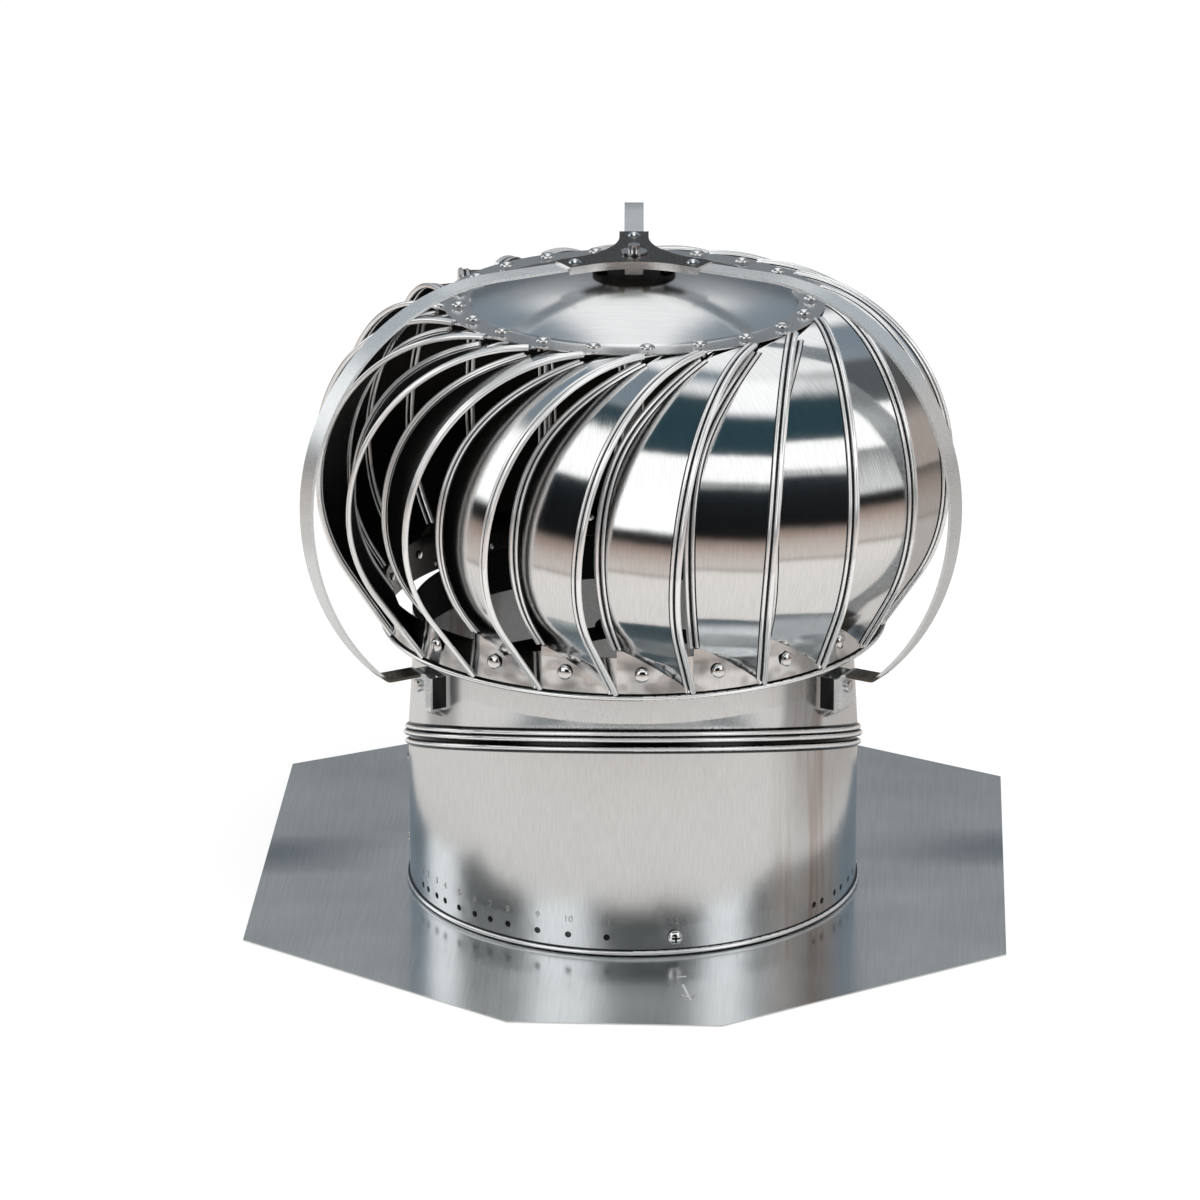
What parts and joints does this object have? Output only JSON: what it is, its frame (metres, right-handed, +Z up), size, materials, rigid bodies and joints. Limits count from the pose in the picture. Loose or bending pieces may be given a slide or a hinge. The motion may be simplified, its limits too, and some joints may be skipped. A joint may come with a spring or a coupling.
{
  "type": "roof turbine ventilator",
  "caption": "Wind-driven roof turbine ventilator with a bladed head, three outside strap legs, a variable-pitch collar base and an eight-sided flashing.",
  "frame": {"origin": "On the turbine's upright axis, on the underside of the flashing, at the mouth of the throat.", "axes": "+Z is up along the turbine's axis, -Y is the front, down the roof, and +X is to the right seen from the front."},
  "size_m": [0.508, 0.577, 0.447],
  "materials": {
    "blade_sheet": "bright mill finish with fine upright brushing",
    "cap_sheet": "bright mill finish, slightly dull",
    "collar_sheet": "satin mill finish",
    "flashing_sheet": "satin grey mill finish",
    "strap_aluminium": "satin strap",
    "bracket_steel": "zinc plated",
    "dark_steel": "dull plated steel",
    "bright_steel": "bright zinc plating",
    "rivet_aluminium": "bright",
    "bearing_bronze": "plain bronze bush"
  },
  "bodies": {
    "base": {"flashing": "flashing_sheet"},
    "lower_base": {"lower_collar": "collar_sheet", "collar_lock_screw": "bright_steel", "collar_seam_rivets": "rivet_aluminium"},
    "frame": {"upper_collar": "collar_sheet", "foot_bracket_left": "bracket_steel", "foot_bracket_right": "bracket_steel", "foot_bracket_rear": "bracket_steel", "foot_rivets": "rivet_aluminium", "bearing_spider": "bracket_steel", "lower_bearing": "bright_steel", "bearing_rivets": "rivet_aluminium", "leg_left": "strap_aluminium", "leg_right": "strap_aluminium", "leg_rear": "strap_aluminium", "leg_screws": "bright_steel", "leg_nuts": "bright_steel", "top_bracket": "dark_steel", "bracket_rivets": "rivet_aluminium", "upper_bearing": "bearing_bronze"},
    "head": {"shaft": "bright_steel", "shaft_washer": "bright_steel", "hub_plate": "dark_steel", "hub_screws": "bright_steel", "top_cap": "cap_sheet", "top_rivets": "rivet_aluminium", "blade_01": "blade_sheet", "blade_02": "blade_sheet", "blade_03": "blade_sheet", "blade_04": "blade_sheet", "blade_05": "blade_sheet", "blade_06": "blade_sheet", "blade_07": "blade_sheet", "blade_08": "blade_sheet", "blade_09": "blade_sheet", "blade_10": "blade_sheet", "blade_11": "blade_sheet", "blade_12": "blade_sheet", "blade_13": "blade_sheet", "blade_14": "blade_sheet", "blade_15": "blade_sheet", "blade_16": "blade_sheet", "blade_17": "blade_sheet", "blade_18": "blade_sheet", "blade_19": "blade_sheet", "blade_20": "blade_sheet", "blade_21": "blade_sheet", "bottom_ring": "blade_sheet", "bottom_rivets": "rivet_aluminium"}
  },
  "joints": [
    {"name": "collar_swivel", "type": "hinge", "parent": "base", "child": "lower_base", "pos_m": [0, 0, 0], "axis": [0, 0, 1], "range_deg": [0, 78.7]},
    {"name": "pitch_swivel", "type": "hinge", "parent": "lower_base", "child": "frame", "pos_m": [0, 0, 0.1015], "axis": [-0.0137, 0.3054, 0.9521], "range_deg": [0, 180]},
    {"name": "head_spin", "type": "hinge", "parent": "frame", "child": "head", "pos_m": [0, 0, 0.3], "axis": [0, 0, 1], "continuous": true}
  ]
}
